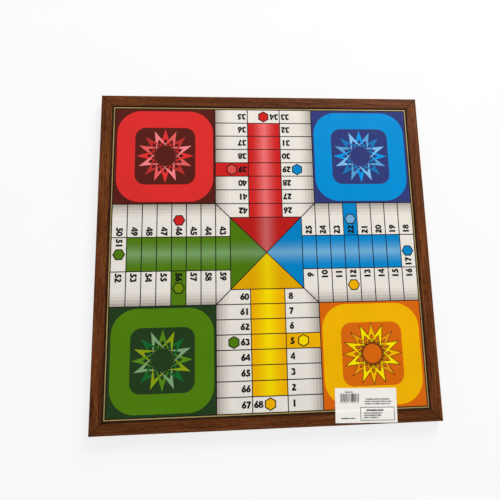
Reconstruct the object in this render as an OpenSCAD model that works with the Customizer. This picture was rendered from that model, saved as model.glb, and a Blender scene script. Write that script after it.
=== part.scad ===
// A square two-sided game board. The front carries a four-player race game with
// corner homes, numbered arms and a centre of four goals; the back a chequered field.
// Both faces are printed sheets glued to a tongued wooden core, held in a grooved
// and mitred wooden frame. Front face up, +Y towards the far player, origin at the
// middle of the underside, millimetres.

/* [Board] */
// Side of the square board, over the frame
board_side = 400; // [340:1:480]
// Thickness of the wooden core
core_t = 8; // [6:0.5:12]
// Thickness of a printed sheet
sheet_t = 0.5; // [0.3:0.1:1]
// Thickness of one layer of print
ink_t = 0.05; // [0.03:0.01:0.08]

/* [Frame] */
// Width of a rail, seen from above
rail_w = 14.6; // [13:0.1:22]
// How far the rails stand proud of the printed sheets
rail_proud = 0.5; // [0.4:0.1:1.5]
// Chamfer along the outer edges of a rail
outer_chamfer = 0.8; // [0.2:0.1:1.5]
// Chamfer along the inner edges of a rail
inner_chamfer = 0.3; // [0.1:0.1:0.4]
// Thickness of the tongue round the core
tongue_t = 4; // [2:0.5:5]
// Depth of the tongue in the rails
tongue_l = 5; // [3:0.5:7]
// Thickness of a hidden corner spline
spline_t = 2.5; // [1.5:0.5:4]
// Width of a corner spline, across the mitre
spline_w = 8; // [5:0.5:9]
// Wood left between a spline and the outside of the frame
spline_cover = 1.5; // [1:0.1:2]
// Wood left between a spline and the groove for the tongue
spline_wall = 1; // [0.5:0.1:1.5]

/* [Fits] */
// Glue gap across a mitre
mitre_gap = 0.1; // [0.05:0.01:0.2]
// Play on each side of the tongue and of a spline
slip_gap = 0.05; // [0.02:0.01:0.1]
// Room past the end of the tongue and of a spline
end_gap = 0.3; // [0.1:0.05:0.5]
// Gap between a sheet or the core and the rails
sheet_gap = 0.1; // [0.05:0.01:0.2]

/* [Border] */
// Width of the black line next to the rails
rail_line_w = 1; // [0.5:0.1:2]
// Width of the gold line
gold_line_w = 1.1; // [0.8:0.1:3]
// Width of the black line next to the field
field_line_w = 1.2; // [0.5:0.1:2]

/* [Race game] */
// Width of the lines between the cells
cell_line_w = 1.1; // [0.3:0.1:1.2]
// Dark margin round the bright panel of a home
panel_margin = 2.6; // [1:0.1:6]
// Corner radius of the bright panel
panel_corner_r = 29; // [10:0.5:40]
// Width of the bright band between the panel's edge and the dark inset
panel_band_w = 21.8; // [14:0.1:28]
// Corner radius of the dark inset
inset_corner_r = 12.5; // [4:0.5:20]
// Room between the points of the star and the edge of the inset
star_margin = 2; // [0.5:0.1:6]
// Corner radius of a six-sided safe mark
safe_mark_r = 7.4; // [5:0.1:7.6]

/* [Chequered field] */
// Margin between the field's edge and the line round the squares
chequer_margin = 12; // [4:0.5:40]
// Gap between neighbouring squares
chequer_gap = 0.2; // [0.1:0.05:0.6]
// Width of the line round the chequered field
chequer_line_w = 1.2; // [0.6:0.1:2]
// Clear strip between the squares and that line
chequer_strip_w = 1.5; // [0.5:0.1:2]

/* [Shelf label] */
// Length of the paper label
label_l = 72; // [40:1:90]
// Height of the paper label
label_h = 38; // [25:1:40]
// Thickness of the label
label_t = 0.12; // [0.08:0.01:0.2]
// Distance of the label's right end from the outside of the frame
label_right = 54; // [30:1:120]
// Distance of the label's lower edge from the outside of the frame
label_edge = 2; // [1.5:0.1:6]
// How far the label was turned when it was stuck on
label_turn = -1.7; // [-2:0.1:2]
// Run over which the label bends down from the rail to the print
label_ramp = 3; // [1:0.1:5]

/* [Hidden] */
$fn = 96;

// Sides of the board, counted anticlockwise from the near side, and each side's colour
SIDES = ["near", "right", "far", "left"];
COLOURS = ["yellow", "blue", "red", "green"];
CORNERS = ["near_left", "near_right", "far_right", "far_left"];
HOME_PIECES = ["home_ground", "home_panel", "home_inset", "home_star"];
LANE_PIECES = ["start_cell", "home_run", "goal", "safe_marks"];

bright = ["#e6aa05", "#0a86cf", "#d62a2a", "#4c8412"];
dark = ["#cc5e08", "#303a78", "#561c18", "#1c3a1c"];
star_tint = ["#f0d400", "#5a9fd6", "#e05055", "#6f9a30"];

// Heights
board_t = core_t + 2 * sheet_t + 2 * rail_proud;
middle_z = board_t / 2;
front_z = board_t - rail_proud;
back_z = rail_proud;

// Plan of the frame
half_side = board_side / 2;
opening_side = board_side - 2 * rail_w;
inner_cut = min(inner_chamfer, rail_proud);
groove_l = tongue_l + end_gap;
groove_t = tongue_t + 2 * slip_gap;
diagonal = sqrt(2);
spline_start = spline_w / 2 + spline_cover * diagonal;
spline_end = (rail_w - groove_l) * diagonal - spline_wall;

// Plan of the border and of the race game's field, from the outside in
rail_line_side = opening_side - 2 * sheet_gap;
gold_side = opening_side - 2 * rail_line_w;
field_line_side = gold_side - 2 * gold_line_w;
play_side = field_line_side - 2 * field_line_w;

// The field is 21 cell depths wide: home, arm and home, or 8 rows, centre and 8 rows
arm_cells = 7;
rows = 8;
cell = play_side / (3 * arm_cells);
play_half = play_side / 2;
arm_half = arm_cells * cell / 2;
column_w = arm_cells * cell / 3;
goal_half = play_half - rows * cell;
cells_outside_safe = 4;
line_half = cell_line_w / 2;

// Plan of a home
home_middle = 2 * arm_half;
panel_side = arm_cells * cell - 2 * panel_margin;
inset_side = panel_side - 2 * panel_band_w;
star_r = inset_side / 2 - star_margin;
// A star point is a dart: its tip, its two feet and the notch between them,
// with the feet and the notch at a share of the star's radius
star_points = 16;
foot_share = 0.36;
foot_angle = 36;
notch_share = 0.66;
print_layers = 4;

// Plan of the back
squares = 8;
chequer_outer = play_side - 2 * chequer_margin;
chequer_inner = chequer_outer - 2 * chequer_line_w;
chequer_field = chequer_inner - 2 * chequer_strip_w;
chequer_side = chequer_field / squares;

// Places the near side's shape on side k
module on_side(k) {
    rotate([0, 0, 90 * k])
        children();
}

// A layer of print on the front sheet, on top of the given number of layers
module front_print(below = 0) {
    translate([0, 0, front_z + below * ink_t])
        linear_extrude(ink_t)
            children();
}

// A layer of print under the back sheet
module back_print() {
    translate([0, 0, back_z - ink_t])
        linear_extrude(ink_t)
            children();
}

module square_ring(outer, inner) {
    difference() {
        square(outer, center = true);
        square(inner, center = true);
    }
}

module rounded_square(side, r) {
    corner = side / 2 - r;
    square([side, 2 * corner], center = true);
    square([2 * corner, side], center = true);
    for (x = [-corner, corner])
        for (y = [-corner, corner])
            translate([x, y])
                circle(r);
}

// A straight line of the given width between two points
module bar(from, to, width) {
    run = to - from;
    translate(from)
        rotate(atan2(run[1], run[0]))
            translate([0, -width / 2])
                square([norm(run), width]);
}

module plate(side, thickness, bottom) {
    translate([-side / 2, -side / 2, bottom])
        cube([side, side, thickness]);
}

module core_panel() {
    color("#c8a878") {
        plate(opening_side - 2 * sheet_gap, core_t, middle_z - core_t / 2);
        plate(opening_side + 2 * tongue_l, tongue_t, middle_z - tongue_t / 2);
    }
}

module front_sheet() {
    color("#e9e6e1")
        plate(opening_side - 2 * sheet_gap, sheet_t, middle_z + core_t / 2);
}

module back_sheet() {
    color("#5a2f1b")
        plate(opening_side - 2 * sheet_gap, sheet_t, middle_z - core_t / 2 - sheet_t);
}

// Section of a rail, from its outer face at 0 to its grooved inner face
module rail_section() {
    difference() {
        polygon([
            [outer_chamfer, 0],
            [rail_w - inner_cut, 0],
            [rail_w, inner_cut],
            [rail_w, board_t - inner_cut],
            [rail_w - inner_cut, board_t],
            [outer_chamfer, board_t],
            [0, board_t - outer_chamfer],
            [0, outer_chamfer]
        ]);
        translate([rail_w - groove_l, middle_z - groove_t / 2])
            square([groove_l + end_gap, groove_t]);
    }
}

// The space of a spline at the near left corner, grown by the given play
module spline_space(side_play, end_play) {
    translate([-half_side, -half_side, middle_z])
        rotate([0, 0, 45])
            translate([
                spline_start - end_play,
                -spline_w / 2 - end_play,
                -spline_t / 2 - side_play
            ])
                cube([
                    spline_end - spline_start + 2 * end_play,
                    spline_w + 2 * end_play,
                    spline_t + 2 * side_play
                ]);
}

module rail(k) {
    mitre_back = mitre_gap / diagonal;
    color("#6b3d22")
        on_side(k)
            difference() {
                intersection() {
                    translate([-half_side, -half_side, 0])
                        rotate([90, 0, 90])
                            linear_extrude(board_side)
                                rail_section();
                    linear_extrude(board_t)
                        polygon([
                            [-half_side + mitre_back, -half_side],
                            [half_side - mitre_back, -half_side],
                            [half_side - rail_w - mitre_back, rail_w - half_side],
                            [rail_w + mitre_back - half_side, rail_w - half_side]
                        ]);
                }
                spline_space(slip_gap, end_gap);
                rotate([0, 0, 90])
                    spline_space(slip_gap, end_gap);
            }
}

module spline(k) {
    color("#d9b98a")
        on_side(k)
            spline_space(0, 0);
}

module front_border() {
    color("#14100d")
        front_print() {
            square_ring(rail_line_side, gold_side);
            square_ring(field_line_side, play_side);
        }
}

module front_gold_line() {
    color("#b0914a")
        front_print()
            square_ring(gold_side, field_line_side);
}

// The lines of one arm up to the centre: its rows, its columns and its edges
module arm_lines() {
    for (row = [1 : rows - 2])
        bar([-arm_half, row * cell - play_half], [arm_half, row * cell - play_half], cell_line_w);
    for (x = [-column_w / 2, column_w / 2])
        bar([x, -play_half], [x, -goal_half], cell_line_w);
    for (x = [-arm_half, arm_half])
        bar([x, -play_half], [x, -arm_half], cell_line_w);
}

// The lines of the centre: a square round the innermost cells, one round the goals and the diagonals
module centre_lines() {
    for (half = [arm_half, goal_half])
        square_ring(2 * half + cell_line_w, 2 * half - cell_line_w);
    for (turn = [0, 90])
        rotate(turn)
            bar([-arm_half, -arm_half], [arm_half, arm_half], cell_line_w);
}

module cell_lines() {
    color("#1b1816")
        front_print() {
            for (k = [0 : 3])
                rotate(90 * k)
                    arm_lines();
            centre_lines();
        }
}

// Places a shape at the middle of the home to the right of side k's player
module at_home(k) {
    rotate(90 * k)
        translate([home_middle, -home_middle])
            children();
}

module home_ground(k) {
    color(dark[k])
        front_print()
            rotate(90 * k)
                translate([arm_half + line_half, -play_half])
                    square(arm_cells * cell - line_half);
}

module home_panel(k) {
    color(bright[k])
        front_print(1)
            at_home(k)
                rounded_square(panel_side, panel_corner_r);
}

module home_inset(k) {
    color(dark[k])
        front_print(2)
            at_home(k)
                rounded_square(inset_side, inset_corner_r);
}

function on_circle(r, angle) = [r * cos(angle), r * sin(angle)];

module star_point() {
    polygon([
        [star_r, 0],
        on_circle(foot_share * star_r, foot_angle),
        [notch_share * star_r, 0],
        on_circle(foot_share * star_r, -foot_angle)
    ]);
}

module home_star(k) {
    color(star_tint[k])
        front_print(3)
            at_home(k)
                for (i = [0 : star_points - 1])
                    rotate(360 / star_points * i)
                        star_point();
}

// Fills a cell of the near arm between its lines: column -1, 0 or 1, rows from the outside
module cell_fill(column, row) {
    translate([column * column_w, (row + 0.5) * cell - play_half])
        square([column_w - cell_line_w, cell - cell_line_w], center = true);
}

module start_cell(k) {
    color(bright[k])
        front_print()
            rotate(90 * k)
                cell_fill(1, cells_outside_safe);
}

module home_run(k) {
    color(bright[k])
        front_print()
            rotate(90 * k)
                for (row = [1 : rows - 1])
                    cell_fill(0, row);
}

module goal(k) {
    base_y = line_half - goal_half;
    base_half = goal_half - line_half - line_half * diagonal;
    color(bright[k])
        front_print()
            rotate(90 * k)
                polygon([
                    [0, -line_half * diagonal],
                    [-base_half, base_y],
                    [base_half, base_y]
                ]);
}

// A six-sided mark in a cell of the near arm, with a point towards the player
module safe_mark(column, row) {
    translate([column * column_w, (row + 0.5) * cell - play_half])
        rotate(90)
            circle(safe_mark_r, $fn = 6);
}

// The marks in one colour: at the foot of the run, on the start cell and on the next arm
module safe_marks(k) {
    color(bright[k]) {
        front_print()
            rotate(90 * k)
                safe_mark(0, 0);
        front_print(1)
            rotate(90 * k)
                safe_mark(1, cells_outside_safe);
        front_print()
            rotate(90 * (k + 1))
                safe_mark(-1, cells_outside_safe);
    }
}

// Section of the label: flat on the rail, bent down over its inner edge and flat on the print
module label_section() {
    rail_edge = rail_w - inner_cut;
    print_start = rail_edge + label_ramp;
    print_z = front_z + print_layers * ink_t;
    polygon([
        [0, board_t],
        [rail_edge, board_t],
        [print_start, print_z],
        [half_side, print_z],
        [half_side, print_z + label_t],
        [print_start, print_z + label_t],
        [rail_edge, board_t + label_t],
        [0, board_t + label_t]
    ]);
}

module shelf_label() {
    color("#ece8e2")
        intersection() {
            translate([0, -half_side, 0])
                rotate([90, 0, 90])
                    linear_extrude(half_side)
                        label_section();
            translate([half_side - label_right - label_l / 2, label_edge + label_h / 2 - half_side, 0])
                rotate([0, 0, label_turn])
                    linear_extrude(2 * board_t)
                        square([label_l, label_h], center = true);
        }
}

module back_border() {
    color("#14100d")
        back_print() {
            square_ring(rail_line_side, gold_side);
            square_ring(field_line_side, play_side);
        }
}

module back_gold_line() {
    color("#b0914a")
        back_print()
            square_ring(gold_side, field_line_side);
}

module chequer_line() {
    color("#b0914a")
        back_print()
            square_ring(chequer_outer, chequer_inner);
}

// Every second square of the chequered field, starting with a square of the given parity
module chequer_squares(parity) {
    first = (chequer_side - chequer_field) / 2;
    for (column = [0 : squares - 1])
        for (row = [0 : squares - 1])
            if ((column + row) % 2 == parity)
                translate([first + column * chequer_side, first + row * chequer_side])
                    square(chequer_side - chequer_gap, center = true);
}

module dark_squares() {
    color("#3a2216")
        back_print()
            chequer_squares(1);
}

module light_squares() {
    color("#e3cfa6")
        back_print()
            chequer_squares(0);
}

core_panel();
front_sheet();
back_sheet();
front_border();
front_gold_line();
cell_lines();
shelf_label();
back_border();
back_gold_line();
chequer_line();
dark_squares();
light_squares();
for (k = [0 : 3]) {
    rail(k);
    spline(k);
    home_ground(k);
    home_panel(k);
    home_inset(k);
    home_star(k);
    start_cell(k);
    home_run(k);
    goal(k);
    safe_marks(k);
}
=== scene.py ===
"""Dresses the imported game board: rails, print, foil lines, numbers, stars, label and stage."""

import math

import bpy
from bpy.props import FloatProperty, FloatVectorProperty, PointerProperty
from mathutils import Matrix, Vector
from mathutils.geometry import delaunay_2d_cdt


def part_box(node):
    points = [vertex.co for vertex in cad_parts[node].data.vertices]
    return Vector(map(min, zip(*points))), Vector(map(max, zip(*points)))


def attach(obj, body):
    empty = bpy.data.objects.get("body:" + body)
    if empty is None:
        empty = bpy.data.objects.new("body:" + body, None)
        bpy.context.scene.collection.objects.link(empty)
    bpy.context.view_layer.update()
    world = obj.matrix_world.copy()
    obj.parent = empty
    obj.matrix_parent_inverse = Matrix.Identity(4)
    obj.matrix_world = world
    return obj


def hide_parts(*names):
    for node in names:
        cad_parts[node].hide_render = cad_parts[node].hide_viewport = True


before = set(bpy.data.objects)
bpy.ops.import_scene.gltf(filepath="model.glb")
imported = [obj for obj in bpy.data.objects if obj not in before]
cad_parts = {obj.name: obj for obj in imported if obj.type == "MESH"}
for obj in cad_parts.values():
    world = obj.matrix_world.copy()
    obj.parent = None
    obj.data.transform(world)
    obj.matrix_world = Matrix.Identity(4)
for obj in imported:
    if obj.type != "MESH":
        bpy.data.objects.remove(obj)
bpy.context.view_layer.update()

bl_info = {
    "name": "Framed game board",
    "version": (1, 0, 0),
    "blender": (4, 5, 0),
    "location": "3D View > Sidebar > Board",
    "description": "Dresses the packed game board with its finishes, numbers, ornaments and label",
    "category": "Object",
}

MM = 0.001

# The four players in turn round the board, each with the print colours of that side
SIDES = ("near", "right", "far", "left")
COLOURS = ("yellow", "blue", "red", "green")

# Steps of the printed shading, on the white cells and in the coloured lanes
PAPER_BANDS = 4
LANE_BANDS = 7

# Sizes and counts that follow from the solids and the game
BOARD_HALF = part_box("right_rail")[1].x
BOARD_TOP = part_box("right_rail")[1].z
RAIL_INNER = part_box("right_rail")[0].x
SHEET_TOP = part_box("front_sheet")[1].z
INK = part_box("cell_lines")[1].z - SHEET_TOP
PLAY_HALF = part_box("cell_lines")[1].x
ROWS_ACROSS = 21
CELL = 2 * PLAY_HALF / ROWS_ACROSS
ARM_ROWS = 8
START_ROW = 4
ARM_HALF = 3.5 * CELL
COLUMN = 2 * ARM_HALF / 3
CELLS_ROUND = 4 * (2 * ARM_ROWS + 1)
MARK_CORNERS = 6
MARK_RADIUS = -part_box("yellow_safe_marks")[0].y - (ROWS_ACROSS - 1) / 2 * CELL


def srgb(red, green, blue):
    """A colour given from 0 to 255, as the linear values that a shader works in."""
    parts = (channel / 255 for channel in (red, green, blue))
    return tuple(c / 12.92 if c <= 0.04045 else ((c + 0.055) / 1.055) ** 2.4 for c in parts)


def length(name, description, default):
    """A length property in metres."""
    return FloatProperty(
        name=name, description=description, default=default, min=0.0, precision=5, unit="LENGTH")


def shade(name, description, default):
    """A colour property."""
    return FloatVectorProperty(
        name=name, description=description, default=default, size=3, min=0.0, max=1.0, subtype="COLOR")


class BoardSizes(bpy.types.PropertyGroup):
    """Sizes of what is printed over the solids"""

    digit_height: length("Digit height", "Height of the numbers in the cells", 7.8 * MM)
    digit_stroke: length("Digit stroke", "Width of the strokes of a number", 2.13 * MM)
    digit_advance: length("Digit advance", "Distance from one digit to the next", 5.25 * MM)
    number_place: length("Number place", "Distance of a number from the middle of its arm", 27.35 * MM)
    middle_number_place: length(
        "Middle number place", "Distance of the outermost number from its arm's middle", 13.5 * MM)
    number_thickness: length("Number thickness", "Thickness of the ink of a number", 0.03 * MM)
    outline_width: length("Outline width", "Width of the black line round a safe mark", 1.2 * MM)
    band_width: length("Band width", "Width of one step of the shading of the white cells", 3.85 * MM)
    lane_band_width: length("Lane band width", "Width of one step of the shading of a lane", 2.2 * MM)
    lane_core: length("Lane core", "Half width of the lightest band of a lane", 2.4 * MM)
    bar_height: length("Bar height", "Height of the bars on the label", 9.0 * MM)
    word_height: length("Word height", "Height of the rows that stand for words on the label", 1.4 * MM)
    heading_height: length("Heading height", "Height of the heavier row in the box on the label", 2.0 * MM)


class BoardColours(bpy.types.PropertyGroup):
    """Colours of the wood, paper, foil and print"""

    wood_dark: shade("Dark wood", "Darkest streaks of the rails", srgb(64, 30, 11))
    wood: shade("Wood", "Main tone of the rails", srgb(99, 52, 22))
    wood_light: shade("Light wood", "Lightest streaks of the rails", srgb(132, 77, 39))
    # Painted highlight: a lighter tone laid in patches along the outer top edges of the rails
    wood_worn: shade("Wood edge highlight", "Painted highlight in patches along the outer top edges of the rails", srgb(158, 112, 78))
    spline: shade("Spline", "Wood of the corner splines", srgb(196, 158, 112))
    core: shade("Core", "Fibreboard of the core", srgb(172, 138, 96))
    paper: shade("Paper", "White of the cells", srgb(232, 227, 219))
    paper_shade: shade("Paper shade", "Darkest band of the cells, beside the homes", srgb(176, 168, 159))
    black: shade("Black", "Ink of the lines and numbers", srgb(16, 14, 16))
    gold: shade("Gold", "Foil of the border line", srgb(176, 149, 84))
    yellow: shade("Yellow", "Bright panel of the yellow home", srgb(240, 179, 2))
    yellow_light: shade("Light yellow", "Middle of the yellow lane", srgb(246, 218, 3))
    yellow_deep: shade("Orange", "Ground of the yellow home", srgb(214, 102, 14))
    blue: shade("Blue", "Bright panel of the blue home", srgb(0, 139, 210))
    blue_light: shade("Light blue", "Middle of the blue lane", srgb(108, 170, 212))
    blue_deep: shade("Navy", "Ground of the blue home", srgb(47, 57, 116))
    red: shade("Red", "Bright panel of the red home", srgb(217, 46, 45))
    red_light: shade("Light red", "Middle of the red lane", srgb(232, 109, 109))
    red_deep: shade("Maroon", "Ground of the red home", srgb(84, 29, 22))
    green: shade("Green", "Bright panel of the green home", srgb(78, 124, 13))
    green_light: shade("Light green", "Middle of the green lane", srgb(116, 156, 98))
    green_deep: shade("Dark green", "Ground of the green home", srgb(32, 57, 26))
    yellow_lane: shade("Yellow lane", "Edges of the yellow lane and its start cell", srgb(238, 177, 2))
    blue_lane: shade("Blue lane", "Edges of the blue lane and its start cell", srgb(0, 132, 200))
    red_lane: shade("Red lane", "Edges of the red lane and its start cell", srgb(201, 34, 32))
    green_lane: shade("Green lane", "Edges of the green lane and its start cell", srgb(79, 121, 16))
    # The goal colours, edges and middles, are the lane colours made darker: painted shade over the middle
    # of the board
    yellow_goal: shade("Yellow goal", "Edges of the yellow goal", srgb(220, 164, 2))
    blue_goal: shade("Blue goal", "Edges of the blue goal", srgb(1, 127, 192))
    red_goal: shade("Red goal", "Edges of the red goal", srgb(180, 29, 25))
    green_goal: shade("Green goal", "Edges of the green goal", srgb(74, 117, 11))
    yellow_goal_light: shade("Light yellow goal", "Middle of the yellow goal", srgb(230, 202, 3))
    blue_goal_light: shade("Light blue goal", "Middle of the blue goal", srgb(101, 161, 203))
    red_goal_light: shade("Light red goal", "Middle of the red goal", srgb(194, 91, 91))
    green_goal_light: shade("Light green goal", "Middle of the green goal", srgb(106, 145, 87))
    yellow_mark: shade("Light yellow mark", "Mark on the yellow start cell", srgb(246, 218, 3))
    blue_mark: shade("Light blue mark", "Mark on the blue start cell", srgb(110, 171, 212))
    red_mark: shade("Light red mark", "Mark on the red start cell", srgb(216, 80, 72))
    green_mark: shade("Light green mark", "Mark on the green start cell", srgb(108, 137, 10))
    label: shade("Label", "Paper of the shelf label", srgb(247, 244, 239))
    label_rows: shade("Label rows", "Ink of the rows on the label", srgb(24, 23, 25))
    back_ground: shade("Back ground", "Ground of the back print", srgb(96, 54, 32))
    dark_square: shade("Dark square", "Dark squares of the chequered field", srgb(72, 40, 24))
    light_square: shade("Light square", "Light squares of the chequered field", srgb(222, 190, 142))
    floor: shade("Floor", "Studio floor", srgb(238, 238, 238))


class BoardStage(bpy.types.PropertyGroup):
    """Camera and light"""

    lens: FloatProperty(
        name="Lens", description="Focal length on a 36 mm sensor", default=28.5, unit="CAMERA")
    shift: FloatProperty(
        name="Shift", description="Sideways shift of the picture", default=-0.03, subtype="FACTOR")
    dome_top: FloatProperty(
        name="Dome top", description="Brightness of the room overhead", default=0.1, subtype="FACTOR")
    dome_side: FloatProperty(
        name="Dome side", description="Brightness of the room at the sides", default=1.15, subtype="FACTOR")
    key_power: FloatProperty(
        name="Key power", description="Power of the large soft lamp", default=116.0, unit="POWER")
    floor_glow: FloatProperty(
        name="Floor glow", description="Share of plain white in the floor as it is seen", default=0.8,
        subtype="FACTOR")


# Nodes


def feed(tree, socket, value):
    """Link a socket or set a plain value; a colour of three parts gets its alpha."""
    if isinstance(value, bpy.types.NodeSocket):
        tree.links.new(value, socket)
    elif socket.type == "RGBA":
        socket.default_value = (*value[:3], 1.0)
    else:
        socket.default_value = value


def tree_node(tree, kind, inputs=None, **settings):
    """A node of a tree with its settings, values and links."""
    made = tree.nodes.new(kind)
    for name, value in settings.items():
        setattr(made, name, value)
    for socket, value in (inputs or {}).items():
        feed(tree, made.inputs[socket], value)
    return made


# Finishes

# How strongly the satin varnish and the film over the print mirror the room
SATIN = 0.06


def along(axis, ratio):
    """Scale of noise on each axis that draws it out along one of them."""
    stretch = [1.0, 1.0, 1.0]
    stretch[axis] = ratio
    return stretch


class Finish:
    """A procedural material on a piece's own coordinates, with the node calls that the finishes share."""

    MIX_COLOURS = (6, 7)
    MIX_RESULT = 2

    def __init__(self, name):
        self.material = bpy.data.materials.new(name)
        self.material.use_nodes = True
        self.tree = self.material.node_tree
        self.surface = self.tree.nodes["Principled BSDF"]
        self.place = self.node("ShaderNodeTexCoord").outputs["Object"]
        self.x, self.y, self.z = self.node("ShaderNodeSeparateXYZ", {0: self.place}).outputs

    def node(self, kind, inputs=None, **settings):
        return tree_node(self.tree, kind, inputs, **settings)

    def math(self, operation, *values):
        return self.node("ShaderNodeMath", dict(enumerate(values)), operation=operation).outputs[0]

    def noise(self, scale, stretch=(1, 1, 1), shift=(0, 0, 0), detail=2.0, roughness=0.5):
        """Noise with that many features per metre, stretched along the axes."""
        spot = self.node("ShaderNodeMapping", {"Vector": self.place, "Location": shift, "Scale": stretch})
        inputs = {"Vector": spot.outputs[0], "Scale": scale, "Detail": detail, "Roughness": roughness}
        return self.node("ShaderNodeTexNoise", inputs).outputs[0]

    def spread(self, value, low, high, to_low=0.0, to_high=1.0, smooth=False):
        """One range of values mapped to another, with what lies outside held at its ends."""
        inputs = dict(enumerate((value, low, high, to_low, to_high)))
        kind = "SMOOTHSTEP" if smooth else "LINEAR"
        return self.node("ShaderNodeMapRange", inputs, interpolation_type=kind).outputs[0]

    def mix(self, share, first, second, blend="MIX"):
        a, b = self.MIX_COLOURS
        inputs = {0: share, a: first, b: second}
        made = self.node("ShaderNodeMix", inputs, data_type="RGBA", blend_type=blend)
        return made.outputs[self.MIX_RESULT]

    def tint(self, colour, *greys):
        """A colour made lighter or darker by grey values."""
        for grey in greys:
            colour = self.mix(1.0, colour, grey, "MULTIPLY")
        return colour

    def from_axis(self):
        """Distance from the middle line of the nearest arm."""
        return self.math("MINIMUM", self.math("ABSOLUTE", self.x), self.math("ABSOLUTE", self.y))

    def from_middle(self):
        """Distance from the middle of the board, measured square to its sides."""
        return self.math("MAXIMUM", self.math("ABSOLUTE", self.x), self.math("ABSOLUTE", self.y))

    def steps(self, distance, first, width, count):
        """Share from 0 to 1 that rises by even steps, the first at one distance, each a band further."""
        bands = self.math("DIVIDE", self.math("SUBTRACT", distance, first), width)
        return self.spread(self.math("ADD", self.math("FLOOR", bands), 1.0), 0.0, count)

    def bump(self, height, distance, strength=1.0):
        inputs = {"Height": height, "Distance": distance, "Strength": strength}
        feed(self.tree, self.surface.inputs["Normal"], self.node("ShaderNodeBump", inputs).outputs[0])

    def set(self, **sockets):
        """Set the surface's own sockets; underscores stand for spaces."""
        for name, value in sockets.items():
            feed(self.tree, self.surface.inputs[name.replace("_", " ")], value)
        return self.material


def rail_wood(name, colours, length_axis, shift, tone):
    """Stained wood with its grain along one rail, painted shade beside the print, dark in the mitres, and a
    painted highlight in patches along the outer top edges.
    """
    finish = Finish(name)
    place = (shift, shift * 0.7, shift * 0.3)
    streaks = finish.noise(680, along(length_axis, 0.035), place, detail=4, roughness=0.7)
    bands = finish.noise(130, along(length_axis, 0.04), place, detail=2)
    flecks = finish.noise(900, along(length_axis, 0.16), place, detail=3, roughness=0.65)
    clouds = finish.noise(24, along(length_axis, 0.5), place, detail=2)
    fine, broad = finish.math("MULTIPLY", streaks, 0.72), finish.math("MULTIPLY", bands, 0.28)
    figure = finish.math("ADD", fine, broad)
    dark = finish.mix(finish.spread(figure, 0.36, 0.5), colours.wood_dark, colours.wood)
    colour = finish.mix(finish.spread(figure, 0.5, 0.66), dark, colours.wood_light)
    fleck_shade = finish.spread(flecks, 0.34, 0.64, 0.58, 1.32)
    cloud_shade = finish.spread(clouds, 0.3, 0.7, 0.84 * tone, 1.12 * tone)
    out = finish.from_middle()
    # Painted shade: the rail's top darkens towards its inner edge, beside the print
    inner_painted_shade = finish.spread(out, RAIL_INNER, RAIL_INNER + 2.6 * MM, 0.2, 1.0, smooth=True)
    to_mitre = finish.math("SUBTRACT", out, finish.from_axis())
    mitre_shade = finish.spread(to_mitre, 0.1 * MM, 1.3 * MM, 0.3, 1.0, smooth=True)
    colour = finish.tint(colour, fleck_shade, cloud_shade, inner_painted_shade, mitre_shade)
    # Painted highlight: patches of a lighter tone along the rails' outer top edges
    near_edge = finish.spread(out, BOARD_HALF - 1.2 * MM, BOARD_HALF - 0.3 * MM)
    near_top = finish.spread(finish.z, BOARD_TOP - 1.6 * MM, BOARD_TOP - 0.7 * MM)
    patches = finish.spread(finish.noise(140, detail=3), 0.5, 0.72, 0.0, 0.3)
    edge_highlight = finish.math("MULTIPLY", finish.math("MULTIPLY", near_edge, patches), near_top)
    colour = finish.mix(edge_highlight, colour, colours.wood_worn)
    relief = finish.math("ADD", finish.math("MULTIPLY", streaks, 0.5), fleck_shade)
    finish.bump(relief, 0.04 * MM, 0.6)
    polish = finish.spread(streaks, 0.3, 0.7, 0.62, 0.5)
    return finish.set(Base_Color=colour, Roughness=polish, Specular_IOR_Level=SATIN)


def raw_wood(name, colour, length_axis):
    """Unfinished wood for the hidden pieces."""
    finish = Finish(name)
    fibres = finish.noise(700, along(length_axis, 0.06), detail=3)
    fibre_shade = finish.spread(fibres, 0.3, 0.7, 0.8, 1.1)
    dullness = finish.spread(fibres, 0.3, 0.7, 0.85, 0.7)
    finish.bump(fibres, 0.08 * MM)
    return finish.set(Base_Color=finish.tint(colour, fibre_shade), Roughness=dullness)


def laminated(finish, colour):
    """Finish ink or paper under a satin film: mottle, fine grain, uneven gloss and a faint orange peel."""
    mottle = finish.spread(finish.noise(38, detail=3), 0.3, 0.7, 0.965, 1.03)
    grain = finish.spread(finish.noise(1300, detail=1), 0.25, 0.75, 0.975, 1.025)
    sheen = finish.spread(finish.noise(75, shift=(3, 1, 0), detail=2), 0.3, 0.7, 0.29, 0.41)
    finish.bump(finish.noise(360, detail=2), 0.03 * MM, 0.6)
    colour = finish.tint(colour, mottle, grain)
    return finish.set(Base_Color=colour, Roughness=sheen, Specular_IOR_Level=SATIN)


def flat_print(name, colour):
    """One printed colour."""
    return laminated(Finish(name), colour)


def lane_print(name, colour, light, sizes, fade):
    """A lane's print: light along the middle of its arm, in even bands to full colour at both edges."""
    finish = Finish(name)
    share = finish.steps(finish.from_axis(), sizes.lane_core, sizes.lane_band_width, LANE_BANDS)
    lack = finish.math("POWER", finish.math("SUBTRACT", 1.0, share), fade)
    return laminated(finish, finish.mix(lack, colour, light))


def mark_print(name, colour, light):
    """Print of the safe marks: the one that lies on the start cell, a layer higher, is lighter."""
    finish = Finish(name)
    raised = finish.spread(finish.z, SHEET_TOP + 1.3 * INK, SHEET_TOP + 1.4 * INK)
    return laminated(finish, finish.mix(raised, colour, light))


def cell_paper(name, colour, shaded, sizes):
    """White of the cells, shaded warm grey in bands towards the homes on both sides of each arm."""
    finish = Finish(name)
    start = ARM_HALF - PAPER_BANDS * sizes.band_width
    share = finish.steps(finish.from_axis(), start, sizes.band_width, PAPER_BANDS)
    return laminated(finish, finish.mix(finish.math("POWER", share, 1.3), colour, shaded))


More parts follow.
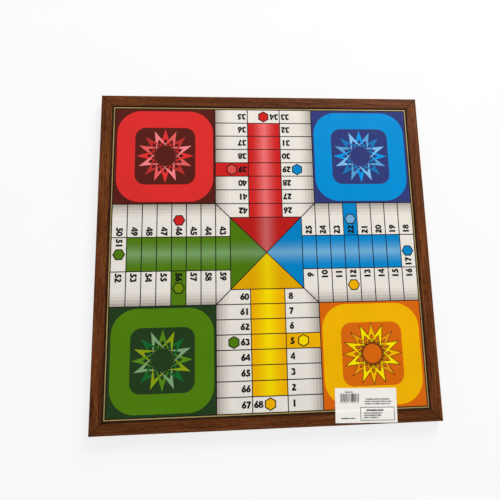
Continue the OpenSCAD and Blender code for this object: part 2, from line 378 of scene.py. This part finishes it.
def foil(name, colour):
    """Stamped metal foil with painted reflections as soft changes of tone along it, and small worn flecks.
    """
    finish = Finish(name)
    # Painted reflection: the foil's colour swings lighter and darker along it
    painted_reflection = finish.spread(finish.noise(32, detail=2), 0.3, 0.7, 0.72, 1.12)
    flecks = finish.spread(finish.noise(1100, detail=2), 0.3, 0.42, 0.6, 1.0)
    finish.bump(finish.noise(900, detail=1), 0.02 * MM)
    return finish.set(Base_Color=finish.tint(colour, painted_reflection, flecks), Metallic=0.3,
                      Roughness=finish.spread(flecks, 0.6, 1.0, 0.6, 0.36))


def label_paper(name, colour):
    """Uncoated label paper with a little fibre."""
    finish = Finish(name)
    fibre = finish.noise(900, detail=4)
    finish.bump(fibre, 0.02 * MM)
    fibre_shade = finish.spread(fibre, 0.3, 0.7, 0.96, 1.02)
    cloud_shade = finish.spread(finish.noise(60), 0.3, 0.7, 0.97, 1.0)
    dullness = finish.spread(fibre, 0.3, 0.7, 0.72, 0.58)
    return finish.set(Base_Color=finish.tint(colour, fibre_shade, cloud_shade), Roughness=dullness)


def veneer_print(name, colour, length_axis):
    """Print in the look of plain veneer, for the back."""
    finish = Finish(name)
    grain = finish.noise(420, along(length_axis, 0.05), detail=4, roughness=0.6)
    return laminated(finish, finish.tint(colour, finish.spread(grain, 0.3, 0.7, 0.76, 1.16)))


# Meshes


def prism(points, faces, low, high):
    """A closed slab: flat faces at the top, the same turned over below, and walls round their rim."""
    count = len(points)
    verts = [(x, y, low) for x, y in points] + [(x, y, high) for x, y in points]
    solid = [tuple(i + count for i in face) for face in faces]
    solid += [tuple(reversed(face)) for face in faces]
    rim = {}
    for face in faces:
        for a, b in zip(face, (*face[1:], face[0])):
            if (b, a) in rim:
                del rim[b, a]
            else:
                rim[a, b] = True
    solid += [(a, b, b + count, a + count) for a, b in rim]
    return verts, solid


def quarter_turned(x, y, turns):
    """A point turned about the board's middle by quarter turns."""
    for _ in range(turns % 4):
        x, y = -y, x
    return x, y


class Build:
    """Vertices and faces gathered for one piece."""

    def __init__(self):
        self.verts, self.faces = [], []

    def add(self, verts, faces):
        first = len(self.verts)
        self.verts += verts
        self.faces += [tuple(i + first for i in face) for face in faces]

    def piece(self, name, material):
        mesh = bpy.data.meshes.new(name)
        mesh.from_pydata(self.verts, [], self.faces)
        mesh.materials.append(material)
        made = bpy.data.objects.new(name, mesh)
        bpy.context.scene.collection.objects.link(made)
        return made


def hand_over(piece, slot, *stands_for):
    """Hang a finished piece from the root body and hide the solids that it stands for."""
    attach(piece, "root")
    if stands_for:
        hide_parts(*stands_for)


def dress(nodes, material):
    """Give solids their finish."""
    for name in nodes:
        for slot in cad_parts[name].material_slots:
            slot.material = material


# Geometry Nodes


def new_tree(name, inputs):
    """An empty tree with a geometry in and out, and its named inputs with their defaults."""
    tree = bpy.data.node_groups.new(name, "GeometryNodeTree")
    tree.interface.new_socket("Geometry", in_out="INPUT", socket_type="NodeSocketGeometry")
    for label, kind, default in inputs:
        socket = tree.interface.new_socket(label, in_out="INPUT", socket_type=f"NodeSocket{kind}")
        if default is not None:
            socket.default_value = default
    tree.interface.new_socket("Geometry", in_out="OUTPUT", socket_type="NodeSocketGeometry")
    return tree, tree.nodes.new("NodeGroupInput").outputs, tree.nodes.new("NodeGroupOutput").inputs


def close_tree(tree, instances, given, out):
    """Realize the copies and give them their material."""
    real = tree_node(tree, "GeometryNodeRealizeInstances", {"Geometry": instances})
    inputs = {"Geometry": real.outputs[0], "Material": given["Material"]}
    painted = tree_node(tree, "GeometryNodeSetMaterial", inputs)
    tree.links.new(painted.outputs[0], out["Geometry"])
    return tree


def turned_copies_tree():
    """Copies of a shape turned evenly about a centre."""
    tree, given, out = new_tree("turned_copies", [
        ("Copies", "Int", 4), ("First angle", "Float", 0.0), ("Centre", "Vector", (0.0, 0.0, 0.0)),
        ("Material", "Material", None)])
    points = tree_node(tree, "GeometryNodePoints", {"Count": given["Copies"], "Position": given["Centre"]})
    step = tree_node(tree, "ShaderNodeMath", {0: math.tau, 1: given["Copies"]}, operation="DIVIDE")
    index = tree_node(tree, "GeometryNodeInputIndex")
    inputs = {0: index.outputs[0], 1: step.outputs[0], 2: given["First angle"]}
    angle = tree_node(tree, "ShaderNodeMath", inputs, operation="MULTIPLY_ADD")
    turn = tree_node(tree, "ShaderNodeCombineXYZ", {"Z": angle.outputs[0]})
    copies = tree_node(tree, "GeometryNodeInstanceOnPoints", {
        "Points": points.outputs[0], "Instance": given["Geometry"], "Rotation": turn.outputs[0]})
    return close_tree(tree, copies.outputs[0], given, out)


def bar_row_tree():
    """A row of upright bars of uneven width, from a bar one metre wide."""
    tree, given, out = new_tree("bar_row", [
        ("Bars", "Int", 20), ("Pitch", "Float", 1.0 * MM), ("Narrowest", "Float", 0.2 * MM),
        ("Widest", "Float", 0.6 * MM), ("Seed", "Int", 1), ("Material", "Material", None)])
    step = tree_node(tree, "ShaderNodeCombineXYZ", {"X": given["Pitch"]})
    line = tree_node(tree, "GeometryNodeMeshLine", {"Count": given["Bars"], "Offset": step.outputs[0]})
    width = tree_node(tree, "FunctionNodeRandomValue", data_type="FLOAT")
    for name, value in (("Min", "Narrowest"), ("Max", "Widest"), ("Seed", "Seed")):
        socket = next(s for s in width.inputs if s.name == name and s.enabled)
        tree.links.new(given[value], socket)
    drawn = next(s for s in width.outputs if s.enabled)
    size = tree_node(tree, "ShaderNodeCombineXYZ", {"X": drawn, "Y": 1.0, "Z": 1.0})
    bars = tree_node(tree, "GeometryNodeInstanceOnPoints", {
        "Points": line.outputs[0], "Instance": given["Geometry"], "Scale": size.outputs[0]})
    return close_tree(tree, bars.outputs[0], given, out)


def grown(piece, tree, **values):
    """Run a tree on a piece and leave the plain mesh that it makes; underscores stand for spaces."""
    modifier = piece.modifiers.new(tree.name, "NODES")
    modifier.node_group = tree
    sockets = {item.name: item.identifier for item in tree.interface.items_tree if item.in_out == "INPUT"}
    for name, value in values.items():
        modifier[sockets[name.replace("_", " ")]] = value
    bpy.context.view_layer.update()
    seed_mesh = piece.data
    depsgraph = bpy.context.evaluated_depsgraph_get()
    piece.data = bpy.data.meshes.new_from_object(piece.evaluated_get(depsgraph))
    piece.modifiers.clear()
    bpy.data.meshes.remove(seed_mesh)
    return piece


def joined(name, pieces):
    """One piece made of several, with all their materials."""
    build, materials, index = Build(), [], []
    for part in pieces:
        verts = [tuple(v.co) for v in part.data.vertices]
        faces = [tuple(p.vertices) for p in part.data.polygons]
        build.add(verts, faces)
        index += [len(materials)] * len(faces)
        materials.append(part.data.materials[0])
        bpy.data.objects.remove(part)
    made = build.piece(name, materials[0])
    for material in materials[1:]:
        made.data.materials.append(material)
    made.data.polygons.foreach_set("material_index", index)
    return made


# Numbers


# Width of each digit and weight of its pen as a share of the pen's width, for digits one unit high
DIGIT_WIDTHS = (0.74, 0.4, 0.66, 0.66, 0.78, 0.66, 0.69, 0.66, 0.75, 0.69)
PEN_SHARES = (0.95, 1.06, 1.0, 0.94, 0.8, 0.97, 0.96, 1.0, 0.8, 0.96)


def arc(centre, radii, start, end, steps=16):
    """Points along part of an ellipse, from one angle to another in degrees."""
    angles = (math.radians(start + (end - start) * i / steps) for i in range(steps + 1))
    return [(centre[0] + radii[0] * math.cos(a), centre[1] + radii[1] * math.sin(a)) for a in angles]


def digit_strokes(digit, pen):
    """Pen paths of a heavy plain digit, one unit high, as (points, closed)."""
    half, wide = pen / 2, DIGIT_WIDTHS[digit]
    mid = wide / 2
    bowl_x = mid - half
    low_y = 0.335
    low_ring = arc((mid, low_y), (bowl_x, low_y - half), 0, 360)[:-1]
    tail = (0.01, half + 0.03)
    if digit == 0:
        return [(arc((mid, 0.5), (bowl_x, 0.5 - half), 0, 360, 28)[:-1], True)]
    if digit == 1:
        return [([(mid, 0.0), (mid, 1.0)], False)]
    if digit == 2:
        top = arc((mid - 0.015, 0.715), (bowl_x - 0.015, 0.285 - half), 165, -38)
        return [(top + [(0.13, half)], False), ([(0.03, half), (wide, half)], False)]
    if digit == 3:
        upper = arc((mid - 0.02, 0.735), (bowl_x - 0.03, 0.265 - half), 105, -90)
        lower = arc((mid - 0.02, 0.29), (bowl_x + 0.02, 0.29 - half), 90, -105)
        return [([(0.05, 0.97 - half)] + upper, False), (lower + [tail], False)]
    if digit == 4:
        post = wide - 0.22
        upright = [(post, 0.0), (post, 1.0)]
        bar = [(0.04, 0.3), (wide - 0.03, 0.3)]
        slope = [(post - 0.03, 0.96), (0.1, 0.3)]
        return [(upright, False), (bar, False), (slope, False)]
    if digit == 5:
        bowl = arc((mid - 0.02, 0.325), (bowl_x + 0.02, 0.325 - half), 118, -105)
        bar = [(0.15, 1 - half), (wide - 0.05, 1 - half)]
        back = [(0.15 + half, 1 - half), (0.1 + half, 0.5)]
        return [(bar, False), (back, False), (bowl + [tail], False)]
    if digit == 6:
        return [(low_ring, True), ([(half + 0.035, 0.45), (wide - 0.16, 1.0)], False)]
    if digit == 7:
        bar = [(0.03, 1 - half), (wide, 1 - half)]
        leg = [(wide - 0.14, 1 - half), (0.2, 0.0)]
        return [(bar, False), (leg, False)]
    if digit == 8:
        upper = arc((mid, 0.735), (bowl_x - 0.045, 0.265 - half), 0, 360)[:-1]
        lower = arc((mid, 0.29), (bowl_x, 0.29 - half), 0, 360)[:-1]
        return [(upper, True), (lower, True)]
    return [([(wide - x, 1 - y) for x, y in path], closed) for path, closed in digit_strokes(6, pen)]


def stroke_quads(path, pen, closed):
    """Quads over a pen stroke of even width, mitred at its corners."""
    points = [Vector(p) for p in path]
    count = len(points)
    pairs = []
    for i, point in enumerate(points):
        ways = []
        if closed or i:
            ways.append((point - points[i - 1]).normalized())
        if closed or i < count - 1:
            ways.append((points[(i + 1) % count] - point).normalized())
        way = sum(ways, Vector((0, 0))).normalized()
        side = Vector((-way.y, way.x))
        reach = pen / 2 / max(0.5, way.dot(ways[0]))
        pairs.append((point + side * reach, point - side * reach))
    ends = range(count) if closed else range(count - 1)
    return [(pairs[i][1], pairs[(i + 1) % count][1], pairs[(i + 1) % count][0], pairs[i][0]) for i in ends]


def digit_faces(digit, pen):
    """One flat digit as points and triangles, with its crossing strokes made one shape."""
    corners, quads = [], []
    pen *= PEN_SHARES[digit]
    for path, closed in digit_strokes(digit, pen):
        for quad in stroke_quads(path, pen, closed):
            quads.append(tuple(range(len(corners), len(corners) + 4)))
            corners += quad
    points, _, faces, _, _, origins = delaunay_2d_cdt(corners, [], quads, 0, 1e-5)
    kept = [tuple(face) for face, origin in zip(faces, origins) if origin]
    used = sorted({i for face in kept for i in face})
    place = {old: new for new, old in enumerate(used)}
    return [points[i] for i in used], [tuple(place[i] for i in face) for face in kept]


def cell_number(number, side):
    """The number that a cell of the near arm has on another side."""
    return (number - 1 + side * (2 * ARM_ROWS + 1)) % CELLS_ROUND + 1


def arm_numbers(sizes):
    """Number, place and height of the print of each cell of the near arm, from outside in."""
    first_y = -(ROWS_ACROSS - 1) / 2 * CELL
    yield CELLS_ROUND, -sizes.middle_number_place, first_y, SHEET_TOP
    for row in range(ARM_ROWS):
        y = first_y + row * CELL
        yield 1 + row, sizes.number_place, y, SHEET_TOP + (INK if row == START_ROW else 0.0)
        yield CELLS_ROUND - 1 - row, -sizes.number_place, y, SHEET_TOP


# Operators


class BOARD_OT_dress_frame(bpy.types.Operator):
    """Give the rails their stained wood, and the core and splines inside them raw wood"""

    bl_idname = "board.dress_frame"
    bl_label = "Dress the frame"

    # How light the strip of wood of each rail is, in the order of the sides
    TONES = (0.76, 1.0, 0.88, 0.95)

    def execute(self, context):
        colours = context.scene.board_colours
        for turn, (side, tone) in enumerate(zip(SIDES, self.TONES)):
            dress([f"{side}_rail"], rail_wood(f"{side}_rail_wood", colours, turn % 2, 1.7 * turn, tone))
        dress(["core_panel"], raw_wood("core_fibreboard", colours.core, 0))
        splines = [f"{a}_{b}_spline" for a in ("near", "far") for b in ("left", "right")]
        dress(splines, raw_wood("spline_beech", colours.spline, 0))
        return {"FINISHED"}


class BOARD_OT_dress_print(bpy.types.Operator):
    """Give the front its paper, black lines, gold line and the colours of homes, lanes, goals and marks"""

    bl_idname = "board.dress_print"
    bl_label = "Dress the front print"

    # How fast a lane's light middle gives way to its full colour; the yellow one stays light for longer
    FADE = 1.75
    FADES = {"yellow": 1.25}

    def execute(self, context):
        colours, sizes = context.scene.board_colours, context.scene.board_sizes
        dress(["front_sheet"], cell_paper("cell_paper", colours.paper, colours.paper_shade, sizes))
        dress(["front_border", "cell_lines"], flat_print("black_lines", colours.black))
        dress(["front_gold_line"], foil("gold_line", colours.gold))
        for name in COLOURS:
            full, light, deep, lane, goal, goal_light, mark = (
                getattr(colours, name + end)
                for end in ("", "_light", "_deep", "_lane", "_goal", "_goal_light", "_mark"))
            dress([f"{name}_home_ground", f"{name}_home_inset"], flat_print(f"{name}_home_deep", deep))
            dress([f"{name}_home_panel"], flat_print(f"{name}_panel", full))
            dress([f"{name}_start_cell"], flat_print(f"{name}_start", lane))
            fade = self.FADES.get(name, self.FADE)
            dress([f"{name}_home_run"], lane_print(f"{name}_lane", lane, light, sizes, fade))
            # The goal's colours carry painted shade: they are darker than the lane's
            dress([f"{name}_goal"], lane_print(f"{name}_goal_print", goal, goal_light, sizes, fade))
            dress([f"{name}_safe_marks"], mark_print(f"{name}_marks", lane, mark))
        return {"FINISHED"}


class BOARD_OT_print_stars(bpy.types.Operator):
    """Print the sixteen-pointed star of each home, each dart over the next one clockwise"""

    bl_idname = "board.print_stars"
    bl_label = "Print the stars"

    # Tones of the darts on the diagonals, on the axes, and of the two kinds between them
    FIRST_ANGLES = (45.0, 0.0, 67.5, 22.5)
    TONES = {
        "yellow": ((230, 146, 16), (242, 182, 0), (250, 224, 0), (250, 230, 0)),
        "blue": ((24, 116, 178), (0, 148, 226), (86, 156, 208), (124, 188, 234)),
        "red": ((184, 48, 48), (224, 50, 50), (228, 95, 95), (242, 130, 135)),
        "green": ((20, 100, 42), (84, 136, 24), (138, 160, 20), (124, 162, 116)),
    }
    # Stars whose darts have a dark line round them, and how far it runs outside and inside their edge
    OUTLINED = {"yellow": (34, 24, 14)}
    OUTLINE = (-0.58 * MM, 0.1 * MM)
    # Place of a dart's feet and notch as shares of the star's radius, and of its feet in degrees
    FOOT_SHARE = 0.36
    FOOT_ANGLE = 36.0
    NOTCH_SHARE = 0.66
    POINTS_PER_TONE = 4
    # Top of a dart at its middle and its tilt to one foot, as shares of the ink; the lines lie flat below
    DART = (0.55, 0.4)
    LINE = (0.1, 0.0)

    def dart(self, radius, inset):
        """Corners of one dart from its tip on +X back to its two feet, drawn in by an even margin."""
        half = math.radians(self.FOOT_ANGLE)
        foot_x = radius * self.FOOT_SHARE * math.cos(half)
        foot_y = radius * self.FOOT_SHARE * math.sin(half)
        spots = ((radius, 0.0), (foot_x, foot_y), (radius * self.NOTCH_SHARE, 0.0), (foot_x, -foot_y))
        corners = [Vector(spot) for spot in spots]
        drawn = []
        for i, corner in enumerate(corners):
            sides = [(corner - corners[i - 1]).normalized(), (corners[(i + 1) % 4] - corner).normalized()]
            normals = [Vector((-side.y, side.x)) for side in sides]
            spread = 1 + normals[0].dot(normals[1])
            drawn.append(corner + (normals[0] + normals[1]) * inset / spread)
        return [tuple(corner) for corner in drawn]

    def ring(self, inset, top, tilt, box, tree, first, material):
        """Darts of one tone, turned about the middle of the home, with one foot higher than the other."""
        low, high = box
        centre, radius, ink = (low + high) / 2, (high.x - low.x) / 2, high.z - low.z
        corners = self.dart(radius, inset)
        verts, faces = prism(corners, [(0, 1, 2), (0, 2, 3)], low.z, low.z + top * ink)
        slope = tilt * ink / max(y for x, y in corners)
        count = len(corners)
        tilted = verts[:count] + [(x, y, z - slope * y) for x, y, z in verts[count:]]
        build = Build()
        build.add(tilted, faces)
        return grown(build.piece("darts", material), tree, Copies=self.POINTS_PER_TONE,
                     First_angle=math.radians(first), Centre=(centre.x, centre.y, 0.0), Material=material)

    def execute(self, context):
        tree = turned_copies_tree()
        for name in COLOURS:
            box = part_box(f"{name}_home_star")
            edge = self.OUTLINED.get(name)
            edge_ink = flat_print(f"{name}_star_outline", srgb(*edge)) if edge else None
            parts = []
            for step, (first, tone) in enumerate(zip(self.FIRST_ANGLES, self.TONES[name])):
                ink = flat_print(f"{name}_star_tone_{step + 1}", srgb(*tone))
                outset, inset = self.OUTLINE if edge_ink else (0.0, 0.0)
                if edge_ink:
                    parts.append(self.ring(outset, *self.LINE, box, tree, first, edge_ink))
                parts.append(self.ring(inset, *self.DART, box, tree, first, ink))
            hand_over(joined(f"{name}_star", parts), "star_print", f"{name}_home_star")
        return {"FINISHED"}


class BOARD_OT_print_numbers(bpy.types.Operator):
    """Print the numbers of the cells, read from each player's side"""

    bl_idname = "board.print_numbers"
    bl_label = "Print the numbers"

    def execute(self, context):
        colours, sizes = context.scene.board_colours, context.scene.board_sizes
        ink = flat_print("number_ink", colours.black)
        height = sizes.digit_height
        digits = [digit_faces(digit, sizes.digit_stroke / height) for digit in range(10)]
        for turn, side in enumerate(SIDES):
            build = Build()
            for number, x, y, low in arm_numbers(sizes):
                figures = [int(c) for c in str(cell_number(number, turn))]
                for place, figure in enumerate(figures):
                    points, faces = digits[figure]
                    middle = x + (place - (len(figures) - 1) / 2) * sizes.digit_advance
                    start = middle - DIGIT_WIDTHS[figure] * height / 2
                    foot = y - height / 2
                    spots = [(start + px * height, foot + py * height) for px, py in points]
                    spots = [quarter_turned(*spot, turn) for spot in spots]
                    build.add(*prism(spots, faces, low, low + sizes.number_thickness))
            hand_over(build.piece(f"{side}_numbers", ink), "black_print")
        return {"FINISHED"}


class BOARD_OT_print_outlines(bpy.types.Operator):
    """Print the thin black line round each safe mark"""

    bl_idname = "board.print_outlines"
    bl_label = "Print the mark outlines"

    def execute(self, context):
        colours, sizes = context.scene.board_colours, context.scene.board_sizes
        ink = flat_print("outline_ink", colours.black)
        inner_radius = MARK_RADIUS - sizes.outline_width / math.cos(math.pi / MARK_CORNERS)
        foot_y = -(ROWS_ACROSS - 1) / 2 * CELL
        start_y = foot_y + START_ROW * CELL
        build = Build()
        for x, y, layers in ((0.0, foot_y, 1), (COLUMN, start_y, 2), (-COLUMN, start_y, 1)):
            points = []
            for radius in (MARK_RADIUS, inner_radius):
                for i in range(MARK_CORNERS):
                    angle = i * math.tau / MARK_CORNERS
                    points.append((x + radius * math.sin(angle), y + radius * math.cos(angle)))
            faces = []
            for i in range(MARK_CORNERS):
                after = (i + 1) % MARK_CORNERS
                faces.append((after, i, i + MARK_CORNERS, after + MARK_CORNERS))
            low = SHEET_TOP + layers * INK
            build.add(*prism(points, faces, low, low + sizes.number_thickness))
        outlines = build.piece("mark_outlines", ink)
        hand_over(grown(outlines, turned_copies_tree(), Copies=len(SIDES), Material=ink), "black_print")
        return {"FINISHED"}


class BOARD_OT_print_label(bpy.types.Operator):
    """Finish the shelf label and print plain bars, rows and a box on it"""

    bl_idname = "board.print_label"
    bl_label = "Print the label"

    TURN = math.radians(-1.7)
    RAMP = 3 * MM
    THICKNESS = 0.02 * MM
    # Each row's corner from the label's middle, its bars, their pitch, least and greatest width in
    # millimetres, and its seed
    BARS = (-29.0, 3.9, 13, 1.69, 0.5, 1.5, 4)
    HEADING = (0.9, -6.4, 11, 1.85, 1.0, 1.7, 20)
    WORDS = (
        (-23.6, 13.9, 7, 1.35, 0.6, 1.1, 10),
        (0.2, 6.0, 21, 1.35, 0.6, 1.2, 11),
        (-0.8, 3.5, 23, 1.35, 0.6, 1.2, 12),
        (-0.6, 1.0, 22, 1.35, 0.6, 1.2, 13),
        (-30.2, 2.3, 13, 1.75, 0.3, 0.6, 18),
        (-28.8, -14.8, 12, 1.35, 0.6, 1.2, 14),
        (-2.6, -9.2, 16, 1.35, 0.6, 1.2, 15),
        (-2.6, -11.6, 15, 1.35, 0.6, 1.2, 16),
        (-2.6, -14.0, 13, 1.35, 0.6, 1.2, 17),
    )
    # Left, lower, right and upper side of the box, the width of its line, and the lengths of a cut side
    BOX = (-7.0, -16.6, 33.0, -1.9)
    BOX_LINE = 0.65
    BOX_STEPS = 28

    def surface(self, y):
        """Height of the label's upper face: flat on the print, bent up to the rail."""
        rise = min(1.0, max(0.0, (self.RAMP - RAIL_INNER - y) / self.RAMP))
        return self.top_low + rise * (self.top_high - self.top_low)

    def lay(self, verts):
        """Points of the flat label, lifted onto it where it lies."""
        spin = Matrix.Rotation(self.TURN, 2)
        laid = []
        for x, y, z in verts:
            spot = spin @ Vector((x, y)) + self.middle
            laid.append((spot.x, spot.y, z + self.surface(spot.y)))
        return laid

    def row(self, tree, material, row, height):
        """A row of bars on the flat label."""
        x, y, bars, pitch, narrow, wide, seed = row
        corners = [(-0.5, 0.0), (0.5, 0.0), (0.5, height), (-0.5, height)]
        build = Build()
        build.add(*prism(corners, [(0, 1, 2, 3)], 0.0, self.THICKNESS))
        piece = grown(build.piece("row", material), tree, Bars=bars, Pitch=pitch * MM,
                      Narrowest=narrow * MM, Widest=wide * MM, Seed=seed, Material=material)
        verts = [(v.co.x + x * MM, v.co.y + y * MM, v.co.z) for v in piece.data.vertices]
        faces = [tuple(p.vertices) for p in piece.data.polygons]
        bpy.data.objects.remove(piece)
        return verts, faces

    def box_lines(self):
        """The thin box in the lower right, its sides cut short so that they follow the label's bend."""
        x0, y0, x1, y1 = (v * MM for v in self.BOX)
        points = []
        for inset in (0.0, self.BOX_LINE * MM):
            low, high = y0 + inset, y1 - inset
            rungs = [low + (high - low) * i / self.BOX_STEPS for i in range(self.BOX_STEPS + 1)]
            points += [(x1 - inset, y) for y in rungs] + [(x0 + inset, y) for y in reversed(rungs)]
        count = len(points) // 2
        return points, [(i, (i + 1) % count, (i + 1) % count + count, i + count) for i in range(count)]

    def execute(self, context):
        colours, sizes = context.scene.board_colours, context.scene.board_sizes
        dress(["shelf_label"], label_paper("label_paper", colours.label))
        low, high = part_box("shelf_label")
        self.middle = Vector(((low.x + high.x) / 2, (low.y + high.y) / 2))
        self.top_high = high.z
        self.top_low = low.z + high.z - BOARD_TOP
        tree = bar_row_tree()
        ink = flat_print("label_ink", colours.black)
        row_ink = flat_print("label_row_ink", colours.label_rows)
        bars, rows = Build(), Build()
        verts, faces = self.row(tree, ink, self.BARS, sizes.bar_height)
        bars.add(self.lay(verts), faces)
        verts, faces = self.row(tree, row_ink, self.HEADING, sizes.heading_height)
        rows.add(self.lay(verts), faces)
        for row in self.WORDS:
            verts, faces = self.row(tree, row_ink, row, sizes.word_height)
            rows.add(self.lay(verts), faces)
        verts, faces = prism(*self.box_lines(), 0.0, self.THICKNESS)
        bars.add(self.lay(verts), faces)
        hand_over(bars.piece("label_bars", ink), "black_print")
        hand_over(rows.piece("label_lines", row_ink), "black_print")
        return {"FINISHED"}


class BOARD_OT_dress_back(bpy.types.Operator):
    """Give the back its ground, border, gold lines and chequered field"""

    bl_idname = "board.dress_back"
    bl_label = "Dress the back"

    def execute(self, context):
        colours = context.scene.board_colours
        dress(["back_sheet"], veneer_print("back_ground", colours.back_ground, 0))
        dress(["back_border"], flat_print("back_black_lines", colours.black))
        dress(["back_gold_line", "chequer_line"], foil("back_gold_line", colours.gold))
        dress(["dark_squares"], veneer_print("dark_squares", colours.dark_square, 1))
        dress(["light_squares"], veneer_print("light_squares", colours.light_square, 0))
        return {"FINISHED"}


class BOARD_OT_set_stage(bpy.types.Operator):
    """Set the floor, the soft studio light and the camera"""

    bl_idname = "board.set_stage"
    bl_label = "Set the stage"

    CAMERA_PLACE = (-0.0347, -0.0687, 0.4777)
    CAMERA_AIM = (-0.0020, 0.0031, 0.0096)
    CAMERA_RIGHT = (0.9975, -0.0244, 0.0659)
    CAMERA_REACH = (0.01, 50.0)
    KEY_PLACE = (1.2, 2.4, 1.2)
    KEY_SIZE = 1.1
    KEY_COLOUR = (1.0, 0.985, 0.96)
    FLOOR_HALF = 4.0
    FLOOR_DROP = 0.1 * MM

    def seen(self, tree):
        """1 where the background is seen, straight, mirrored or through glass, and 0 where it lights."""
        rays = tree_node(tree, "ShaderNodeLightPath").outputs
        share = rays["Is Camera Ray"]
        for ray in ("Is Glossy Ray", "Is Transmission Ray"):
            inputs = {0: share, 1: rays[ray]}
            share = tree_node(tree, "ShaderNodeMath", inputs, operation="MAXIMUM").outputs[0]
        return share

    def floor(self, colours, stage):
        """A plain floor that the camera sees almost white, with the board's shadow on it."""
        half, z = self.FLOOR_HALF, -self.FLOOR_DROP
        build = Build()
        corners = [(-half, -half, z), (half, -half, z), (half, half, z), (-half, half, z)]
        build.add(corners, [(0, 1, 2, 3)])
        finish = Finish("studio_floor")
        grain = finish.spread(finish.noise(9, detail=3), 0.3, 0.7, 0.98, 1.0)
        dullness = finish.spread(grain, 0.98, 1.0, 0.8, 0.7)
        finish.set(Base_Color=finish.tint(colours.floor, grain), Roughness=dullness, Specular_IOR_Level=0.1)
        share = finish.math("MULTIPLY", self.seen(finish.tree), stage.floor_glow)
        white = finish.node("ShaderNodeEmission", {"Color": (1, 1, 1), "Strength": 1.0})
        inputs = {0: share, 1: finish.surface.outputs[0], 2: white.outputs[0]}
        mixed = finish.node("ShaderNodeMixShader", inputs)
        feed(finish.tree, finish.tree.nodes["Material Output"].inputs["Surface"], mixed.outputs[0])
        build.piece("studio_floor", finish.material)

    def dome(self, scene, stage):
        """A studio that is bright at the sides and dim above, where a camera would hang."""
        world = bpy.data.worlds.new("studio_dome")
        world.use_nodes = True
        tree = world.node_tree
        sky = tree.nodes["Background"]
        way = tree_node(tree, "ShaderNodeTexCoord").outputs["Generated"]
        height = tree_node(tree, "ShaderNodeSeparateXYZ", {0: way}).outputs["Z"]
        inputs = dict(enumerate((height, 0.0, 1.0, stage.dome_side, stage.dome_top)))
        level = tree_node(tree, "ShaderNodeMapRange", inputs).outputs[0]
        inputs = {0: self.seen(tree), 2: level, 3: 1.0}
        strength = tree_node(tree, "ShaderNodeMix", inputs, data_type="FLOAT").outputs[0]
        feed(tree, sky.inputs["Strength"], strength)
        feed(tree, sky.inputs["Color"], (1.0, 1.0, 1.0))
        scene.world = world

    def key(self, scene, stage):
        """One large soft lamp behind the board and to its right."""
        lamp = bpy.data.lights.new("key_lamp", "AREA")
        lamp.shape = "SQUARE"
        lamp.size = self.KEY_SIZE
        lamp.energy = stage.key_power
        lamp.color = self.KEY_COLOUR
        place = Vector(self.KEY_PLACE)
        made = bpy.data.objects.new("key_lamp", lamp)
        made.location = place
        made.rotation_euler = (-place).to_track_quat("-Z", "Y").to_euler()
        scene.collection.objects.link(made)

    def camera(self, scene, stage):
        """The camera above the board, leaning a little forward."""
        lens = bpy.data.cameras.new("board_camera")
        lens.lens = stage.lens
        lens.shift_x = stage.shift
        lens.clip_start, lens.clip_end = self.CAMERA_REACH
        place = Vector(self.CAMERA_PLACE)
        back = (place - Vector(self.CAMERA_AIM)).normalized()
        right = Vector(self.CAMERA_RIGHT)
        right = (right - back * right.dot(back)).normalized()
        made = bpy.data.objects.new("board_camera", lens)
        axes = Matrix((right, back.cross(right), back)).transposed()
        made.matrix_world = Matrix.Translation(place) @ axes.to_4x4()
        scene.collection.objects.link(made)
        scene.camera = made

    def execute(self, context):
        scene = context.scene
        colours, stage = scene.board_colours, scene.board_stage
        scene.view_settings.view_transform = "Standard"
        self.floor(colours, stage)
        self.dome(scene, stage)
        self.key(scene, stage)
        self.camera(scene, stage)
        return {"FINISHED"}


STEPS = (
    BOARD_OT_set_stage,
    BOARD_OT_dress_frame,
    BOARD_OT_dress_print,
    BOARD_OT_print_stars,
    BOARD_OT_print_numbers,
    BOARD_OT_print_outlines,
    BOARD_OT_print_label,
    BOARD_OT_dress_back,
)


class BOARD_PT_panel(bpy.types.Panel):
    """The steps that dress the board, in order"""

    bl_idname = "BOARD_PT_panel"
    bl_label = "Framed game board"
    bl_space_type = "VIEW_3D"
    bl_region_type = "UI"
    bl_category = "Board"

    def draw(self, context):
        for step in STEPS:
            self.layout.operator(step.bl_idname)
        for group in ("board_sizes", "board_colours", "board_stage"):
            box = self.layout.box()
            settings = getattr(context.scene, group)
            for name in settings.__annotations__:
                box.prop(settings, name)


GROUPS = {"board_sizes": BoardSizes, "board_colours": BoardColours, "board_stage": BoardStage}
CLASSES = (*GROUPS.values(), *STEPS, BOARD_PT_panel)


def register():
    for cls in CLASSES:
        bpy.utils.register_class(cls)
    for name, group in GROUPS.items():
        setattr(bpy.types.Scene, name, PointerProperty(type=group))


def unregister():
    for name in GROUPS:
        delattr(bpy.types.Scene, name)
    for cls in reversed(CLASSES):
        bpy.utils.unregister_class(cls)


def main():
    register()
    for step in STEPS:
        group, name = step.bl_idname.split(".")
        getattr(getattr(bpy.ops, group), name)()


if __name__ == "__main__":
    main()
